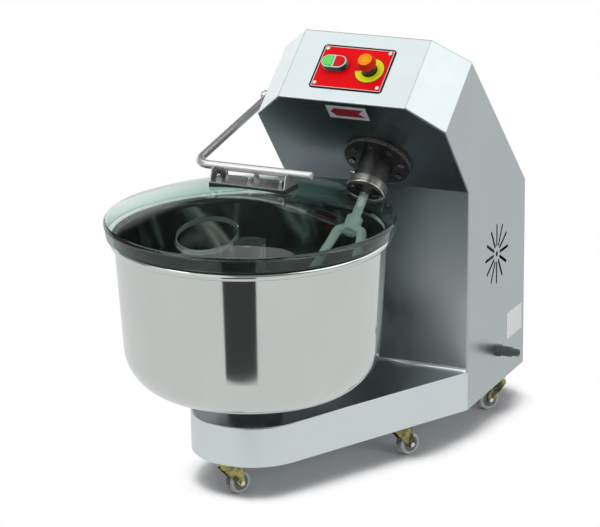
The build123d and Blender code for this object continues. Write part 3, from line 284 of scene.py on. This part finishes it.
# Control plate: red, with a black border and a thin pale line inside it
PLATE_HALF_W = 0.0845
PLATE_HALF_H = 0.0585
BORDER = 0.0038
LINE_W = 0.0016
plate = Shader("control_red", Specular_IOR_Level=0.06)
speck = plate.noise(420.0, detail=3.0)
fade = plate.noise(11.0, detail=4.0)
across = plate.math("SUBTRACT", plate.math("ABSOLUTE", plate.along(PANEL_AT, RIGHTWARD)), PLATE_HALF_W)
upward = plate.math("SUBTRACT", plate.math("ABSOLUTE", plate.along(PANEL_AT, OUT)), PLATE_HALF_H)
rim = plate.either(across, upward)
red = plate.mix(fade, shade((0.88, 0.002, 0.005)), shade((0.78, 0.002, 0.005)))
line = plate.between(rim, -BORDER - LINE_W, -BORDER)
tone = plate.mix(line, red, shade((0.80, 0.62, 0.60)))
plate.set("Base Color", plate.mix(plate.over(rim, -BORDER), tone, shade((0.012, 0.012, 0.012))))
plate.set("Roughness", plate.spread(speck, 0.3, 0.7, 0.45, 0.6))
plate.bump(speck, 0.05)
dress(plate, "control_plate")

# Twin button: black housing with a silver frame on top, one green and one red cap
FRAME_FROM = 0.0062
housing = Shader("housing_black")
grain = housing.noise(800.0, detail=2.0)
frame_top = housing.over(housing.along(TWIN_AT, UP), FRAME_FROM)
moulding = housing.mix(grain, shade((0.015, 0.015, 0.016)), shade((0.03, 0.03, 0.03)))
housing.set("Base Color", housing.mix(frame_top, moulding, shade((0.40, 0.41, 0.41))))
housing.set("Metallic", frame_top)
housing.set("Roughness", housing.spread(grain, 0.3, 0.7, 0.24, 0.38))
housing.bump(grain, 0.08)
dress(housing, "button_bezel")
dress(plastic("collar_black", (0.015, 0.015, 0.016), 0.32), "estop_collar")
dress(plastic("button_green", (0.13, 0.80, 0.13), 0.34, Specular_IOR_Level=0.15), "start_button")
dress(plastic("button_red", (0.70, 0.006, 0.008), 0.34, Specular_IOR_Level=0.08), "stop_button")

# Emergency button: red mushroom with an orange disc on top, over a printed yellow ring
MUSHROOM_TOP = 0.0280
DISC_R = 0.0150
GROOVE_INNER, GROOVE_OUTER = 0.0100, 0.0110
RING_INNER, RING_OUTER = 0.0178, 0.0320
mushroom = Shader("mushroom_red", Specular_IOR_Level=0.07)
skin = mushroom.noise(700.0, detail=2.0)
reach = mushroom.off_axis(ESTOP_AT, UP)
on_top = mushroom.over(mushroom.along(ESTOP_AT, UP), MUSHROOM_TOP)
disc = mushroom.both(mushroom.under(reach, DISC_R), on_top)
groove = mushroom.both(mushroom.between(reach, GROOVE_INNER, GROOVE_OUTER), on_top)
body = mushroom.mix(skin, shade((0.74, 0.028, 0.006)), shade((0.64, 0.022, 0.006)))
tone = mushroom.mix(disc, body, shade((1.0, 0.36, 0.006)))
mushroom.set("Base Color", mushroom.mix(groove, tone, shade((0.60, 0.10, 0.010))))
mushroom.set("Roughness", mushroom.spread(skin, 0.3, 0.7, 0.26, 0.36))
mushroom.bump(skin, 0.06)
dress(mushroom, "estop_button")
ring = Shader("ring_yellow", Specular_IOR_Level=0.08)
print_grain = ring.noise(300.0, detail=4.0)
reach = ring.off_axis(ESTOP_AT, UP)
outline = ring.either(ring.over(reach, RING_OUTER), ring.under(reach, RING_INNER))
yellow = ring.mix(print_grain, shade((0.90, 0.87, 0.010)), shade((0.82, 0.79, 0.010)))
ring.set("Base Color", ring.mix(outline, yellow, shade((0.03, 0.025, 0.01))))
ring.set("Roughness", ring.spread(print_grain, 0.3, 0.7, 0.35, 0.5))
dress(ring, "estop_ring")

# Turning arrow under the head: a broad block pointing left, notched at its tail
ARROW_TIP = 0.039
ARROW_TAIL = 0.0255
ARROW_HALF_H = 0.013
TIP_SLOPE = 1.3
NOTCH_SLOPE = 1.1
arrow = Shader("arrow_label")
fleck = arrow.noise(500.0, detail=4.0)
u = arrow.along(ARROW_AT, RIGHTWARD)
v = arrow.math("ABSOLUTE", arrow.along(ARROW_AT, UP))
flank = arrow.both(arrow.math("ADD", u, ARROW_TIP), TIP_SLOPE)
point = arrow.over(arrow.math("SUBTRACT", flank, v), 0.0)
notch = arrow.under(arrow.math("SUBTRACT", u, arrow.both(v, NOTCH_SLOPE)), ARROW_TAIL)
sign = arrow.both(arrow.both(point, notch), arrow.under(v, ARROW_HALF_H))
paper = arrow.mix(fleck, shade((0.62, 0.62, 0.62)), shade((0.54, 0.54, 0.55)))
arrow.set("Base Color", arrow.mix(sign, paper, shade((0.27, 0.008, 0.022))))
arrow.set("Roughness", arrow.spread(fleck, 0.3, 0.7, 0.3, 0.45))
dress(arrow, "arrow_label")
dress(plastic("label_white", (0.95, 0.94, 0.94), 0.4, 300.0, 0.05, 0.04), "rating_label")
dress(plastic("gland_grey", (0.10, 0.105, 0.11), 0.42), "cable_gland")


def zinc(name):
    """Yellow passivated zinc, cloudy and a little iridescent."""
    made = Shader(name, Metallic=0.95)
    bloom = made.noise(34.0, detail=5.0)
    patches = made.noise(170.0, detail=3.0)
    cloudy = made.spread(bloom, 0.42, 0.58, 0.0, 1.0)
    made.tone = made.mix(cloudy, shade((0.40, 0.37, 0.13)), shade((0.05, 0.055, 0.04)))
    made.tone = made.mix(made.spread(patches, 0.5, 0.7, 0.0, 0.6), made.tone, shade((0.22, 0.15, 0.08)))
    made.set("Base Color", made.tone)
    made.set("Roughness", made.spread(bloom, 0.3, 0.7, 0.26, 0.42))
    made.bump(patches, 0.08)
    return made


# Castors: zinc yokes with plain bolts, and wheels with a dark tread and a pale ring round a dark disc
YOKE_FACE = 0.0166
BOLT_R = 0.0058
TREAD_HALF_W = 0.0078
TREAD_R = 0.022
WHEEL_DISC_R = 0.0175
dress(zinc("zinc_plates"), "castor_plates")
for place, trail in WHEEL_TRAILS.items():
    hub = middle(place + "_castor_wheel")
    axle = Vector((-sin(radians(trail)), cos(radians(trail)), 0))
    yoke = zinc("zinc_" + place)
    outside = yoke.over(yoke.math("ABSOLUTE", yoke.along(hub, axle)), YOKE_FACE, 0.00002)
    bolt = yoke.both(yoke.under(yoke.off_axis(hub, axle), BOLT_R), outside)
    yoke.set("Base Color", yoke.mix(bolt, yoke.tone, shade((0.66, 0.66, 0.64))))
    dress(yoke, place + "_castor_fork")
    wheel = Shader("wheel_" + place)
    scrape = wheel.noise(90.0, detail=6.0)
    pebble = wheel.noise(700.0, detail=2.0)
    reach = wheel.off_axis(hub, axle)
    side = wheel.math("ABSOLUTE", wheel.along(hub, axle))
    tread = wheel.both(wheel.under(side, TREAD_HALF_W, 0.0006), wheel.over(reach, TREAD_R))
    pale = wheel.mix(scrape, shade((0.52, 0.54, 0.54)), shade((0.38, 0.40, 0.40)))
    disc = wheel.mix(scrape, shade((0.16, 0.17, 0.17)), shade((0.09, 0.095, 0.095)))
    grey = wheel.mix(wheel.over(reach, WHEEL_DISC_R, 0.0008), disc, pale)
    worn = wheel.both(tread, wheel.spread(scrape, 0.4, 0.6, 0.6, 1.0))
    wheel.set("Base Color", wheel.mix(worn, grey, shade((0.06, 0.063, 0.063))))
    wheel.set("Roughness", wheel.spread(scrape, 0.3, 0.7, 0.38, 0.6))
    wheel.bump(pebble, 0.15, 0.0003)
    dress(wheel, place + "_castor_wheel")

# Left out of what the lid and the bowl's outside mirror
for name in ("control_plate", "stop_button", "estop_button", "arrow_label"):
    nodes[name].visible_glossy = False

# Drive inside the column and plinth
machined = steel("machined_steel", (0.60, 0.60, 0.59), 0.26, (420, 420, 420))
dress(machined, "bowl_hub", "bowl_spindle", "motor_shaft", "layshaft")
dress(machined, "fork_worm", "bowl_worm", "shaft_bearings")
iron = steel("cast_iron", (0.16, 0.165, 0.17), 0.55, (300, 300, 300), metallic=0.6, depth=0.0006)
dress(iron, "fork_gearbox", "bowl_gearbox", "bearing_box", "lay_blocks")
dress(iron, "fork_pulley", "bowl_pulley", "motor_pulley")
dress(steel("bronze", (0.55, 0.36, 0.14), 0.32, (300, 300, 300)), "fork_wheel", "bowl_wheel")
dress(plastic("motor_paint", (0.10, 0.14, 0.18), 0.35, 250.0), "motor")
dress(plastic("belt_rubber", (0.015, 0.015, 0.015), 0.7, 400.0, 0.3), "v_belts")


def add_piece(name, work):
    """Object of a finished bmesh, in the scene."""
    mesh = bpy.data.meshes.new(name)
    work.to_mesh(mesh)
    work.free()
    piece = bpy.data.objects.new(name, mesh)
    bpy.context.scene.collection.objects.link(piece)
    return piece


def lathe(name, profile, origin, axis, steps=32):
    """Piece turned from (radius, height) pairs about an axis, closed at both ends."""
    work = bmesh.new()
    turns = [2 * pi * i / steps for i in range(steps)]
    rows = [[work.verts.new((r * cos(a), r * sin(a), h)) for a in turns] for r, h in profile]
    for low, high in zip(rows, rows[1:]):
        for i in range(steps):
            j = (i + 1) % steps
            work.faces.new((low[i], low[j], high[j], high[i]))
    work.faces.new(rows[0][::-1])
    work.faces.new(rows[-1])
    work.transform(Matrix.Translation(origin) @ axis.to_track_quat("Z", "Y").to_matrix().to_4x4())
    for face in work.faces:
        face.smooth = len(face.verts) == 4
    return add_piece(name, work)


# Grease nipple in the neck, just above the ring
SUNK = 0.0005
NIPPLE = (
    (0.0042, 0.0), (0.0042, 0.003), (0.0030, 0.0036), (0.0026, 0.0052), (0.0032, 0.0062), (0.0032, 0.0074),
    (0.0018, 0.0086),
)
NECK_R = 0.0375
NIPPLE_OUT = 0.055
aside = (UP * 0.8 - RIGHTWARD).normalized()
nipple_at = FLANGE_AT + OUT * NIPPLE_OUT + aside * (NECK_R - SUNK)
nipple = lathe("grease_nipple", NIPPLE, nipple_at, aside)
nipple.data.materials.append(steel("nipple_brass", (0.74, 0.68, 0.50), 0.2, (600, 600, 600)).material)
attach(nipple, "frame")


def bar(name, section, start, end):
    """Piece of a (y, z) outline drawn along X from start to end, smooth along its curved side."""
    work = bmesh.new()
    ends = [[work.verts.new((x, y, z)) for y, z in section] for x in (start, end)]
    count = len(section)
    for i in range(count):
        j = (i + 1) % count
        side = work.faces.new((ends[0][i], ends[0][j], ends[1][j], ends[1][i]))
        side.smooth = 1 < i < count - 2
    work.faces.new(ends[0][::-1])
    work.faces.new(ends[1])
    bmesh.ops.recalc_face_normals(work, faces=work.faces)
    return add_piece(name, work)


# Dressed weld in the corner between the plinth's top and the column
SEAM_R = 0.007
SEAM_STEPS = 10
FOLD = 0.004
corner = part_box("base_plinth")[1]
seam_back = corner.y + SUNK
seam_foot = corner.z - SUNK
section = [(seam_back, seam_foot), (corner.y - SEAM_R, seam_foot)]
for step in range(SEAM_STEPS + 1):
    turn = pi / 2 * step / SEAM_STEPS
    section.append((corner.y - SEAM_R * (1 - sin(turn)), corner.z + SEAM_R * (1 - cos(turn))))
section.append((seam_back, corner.z + SEAM_R))
casing_low, casing_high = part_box("column_casing")
seam = bar("plinth_seam", section, casing_low.x + FOLD, casing_high.x - FOLD)
seam_look = steel("seam_steel", (0.56, 0.61, 0.62), 0.30, (120, 40, 40), relief=0.01)
seam.data.materials.append(seam_look.material)
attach(seam, "frame")


def stage_sheet(name, corners, material):
    """A flat sheet of the studio."""
    mesh = bpy.data.meshes.new(name)
    mesh.from_pydata(corners, [], [(0, 1, 2, 3)])
    sheet = bpy.data.objects.new(name, mesh)
    sheet.data.materials.append(material)
    bpy.context.scene.collection.objects.link(sheet)
    return sheet


# Floor: white wherever it is open, and plain and pale where the mixer shades it
FLOOR_HALF = 9.0
FLOOR_Z = -0.0005
SHELTER_REACH = 0.12
SHADE_BELOW, WHITE_ABOVE = 0.62, 0.80
floor = Shader("floor_pale", Roughness=0.9, Base_Color=(0.5, 0.5, 0.52, 1.0))
rays = floor.node("LightPath").outputs
lean = floor.node("CombineXYZ", {"X": -0.1, "Y": -0.3, "Z": 0.95}).outputs[0]
shelter = floor.node("AmbientOcclusion", {"Distance": SHELTER_REACH, "Normal": lean}, samples=16)
open_floor = floor.spread(shelter.outputs["AO"], SHADE_BELOW, WHITE_ABOVE, 0.0, 1.0)
seen = floor.both(rays["Is Camera Ray"], open_floor)
mirrored = floor.either(rays["Is Glossy Ray"], rays["Is Transmission Ray"])
glow = floor.node("Emission", {"Strength": floor.spread(rays["Is Glossy Ray"], 0.0, 1.0, 1.0, 0.8)})
blend = {0: floor.either(seen, mirrored), 1: floor.bsdf.outputs[0], 2: glow.outputs[0]}
white = floor.node("MixShader", blend)
floor.tree.links.new(white.outputs[0], floor.tree.nodes["Material Output"].inputs[0])
corners = [(x * FLOOR_HALF, y * FLOOR_HALF, FLOOR_Z) for x, y in ((-1, -1), (1, -1), (1, 1), (-1, 1))]
stage_sheet("floor", corners, floor.material)

# Surroundings: white to look at, and dim with bright windows where metal mirrors them, dark behind the lid
AMBIENT = 0.4
DIM = 0.28
DARK = 0.03
UNDER_LID = 0.01
WINDOW_EDGE = 0.1
BEHIND = Vector((-0.41, 0.86, 0.42)).normalized()
WINDOWS = (
    (Vector((0.775, 0.114, 0.622)).normalized(), 0.82, 1.7),
    (Vector((-0.776, 0.631, 0)).normalized(), 0.88, 1.6),
    (Vector((0.41, 0.86, 0.15)).normalized(), 0.80, 0.95),
    (Vector((-0.41, -0.86, 0.10)).normalized(), 0.75, 0.7),
)
world = bpy.data.worlds.new("studio")
world.use_nodes = True
bpy.context.scene.world = world
studio = Nodes(world.node_tree)
way = studio.node("TexCoord").outputs["Generated"]
mirror = studio.spread(studio.vector("DOT_PRODUCT", way, BEHIND, "Value"), 0.72, 0.86, DIM, DARK)
for towards, edge, bright in WINDOWS:
    aim = studio.vector("DOT_PRODUCT", way, towards, "Value")
    mirror = studio.math("ADD", studio.spread(aim, edge, edge + WINDOW_EDGE, 0.0, bright), mirror)
rays = studio.node("LightPath").outputs
through = studio.spread(rays["Diffuse Depth"], 0.0, 1.0, UNDER_LID, AMBIENT)
level = studio.spread(rays["Is Diffuse Ray"], 0.0, 1.0, 1.0, AMBIENT)
level = studio.spread(rays["Is Glossy Ray"], 0.0, 1.0, level, mirror)
level = studio.spread(rays["Is Transmission Ray"], 0.0, 1.0, level, through)
sky = studio.tree.nodes["Background"]
sky.inputs["Color"].default_value = (1, 1, 1, 1)
studio.tree.links.new(level, sky.inputs["Strength"])

# Dark upright card in front of the bowl, seen only in its polish
CARD_AT = Vector((0.232, -1.060, 0))
CARD_SIDE = Vector((0.951, 0.307, 0)) * 0.19
CARD_H = 0.4
card_look = Shader("card_black", Roughness=0.9, Base_Color=(0.09, 0.09, 0.087, 1.0))
card_low = [CARD_AT - CARD_SIDE, CARD_AT + CARD_SIDE]
card_high = [corner + UPRIGHT * CARD_H for corner in reversed(card_low)]
card = stage_sheet("bowl_card", card_low + card_high, card_look.material)
card.visible_camera = False
card.visible_diffuse = False
card.visible_transmission = False
card.visible_shadow = False


def lamp(name, at, target, size, power, mirrored=True):
    """Soft rectangular lamp, left out of what shows through the lid."""
    data = bpy.data.lights.new(name, "AREA")
    data.shape = "RECTANGLE"
    data.size, data.size_y = size
    data.energy = power
    made = bpy.data.objects.new(name, data)
    made.location = at
    made.rotation_euler = (Vector(target) - Vector(at)).to_track_quat("-Z", "Y").to_euler()
    made.visible_transmission = False
    made.visible_glossy = mirrored
    bpy.context.scene.collection.objects.link(made)


lamp("overhead", (-0.9, -0.5, 3.2), (-0.3, -0.2, 0.5), (3.4, 3.0), 47)
lamp("front_left", (-2.4, -3.4, 3.4), (0, -0.2, 0.4), (1.6, 1.6), 24)
lamp("right", (2.8, -0.6, 1.2), (0.3, 0.3, 0.3), (1.2, 1.2), 23, mirrored=False)

# Camera at the photograph's place
CAMERA_AT = Vector((2.2997, -4.8614, 2.1164))
CAMERA_RIGHT = Vector((0.90375, 0.42780, -0.01438)).normalized()
CAMERA_BACK = Vector((0.41198, -0.86025, 0.30037)).normalized()
camera = bpy.data.objects.new("camera", bpy.data.cameras.new("camera"))
camera.data.lens = 156
camera.data.sensor_width = 36
turned_view = Matrix((CAMERA_RIGHT, CAMERA_BACK.cross(CAMERA_RIGHT), CAMERA_BACK)).transposed()
camera.matrix_world = Matrix.Translation(CAMERA_AT) @ turned_view.to_4x4()
bpy.context.scene.collection.objects.link(camera)
bpy.context.scene.camera = camera
bpy.context.scene.view_settings.view_transform = "Standard"
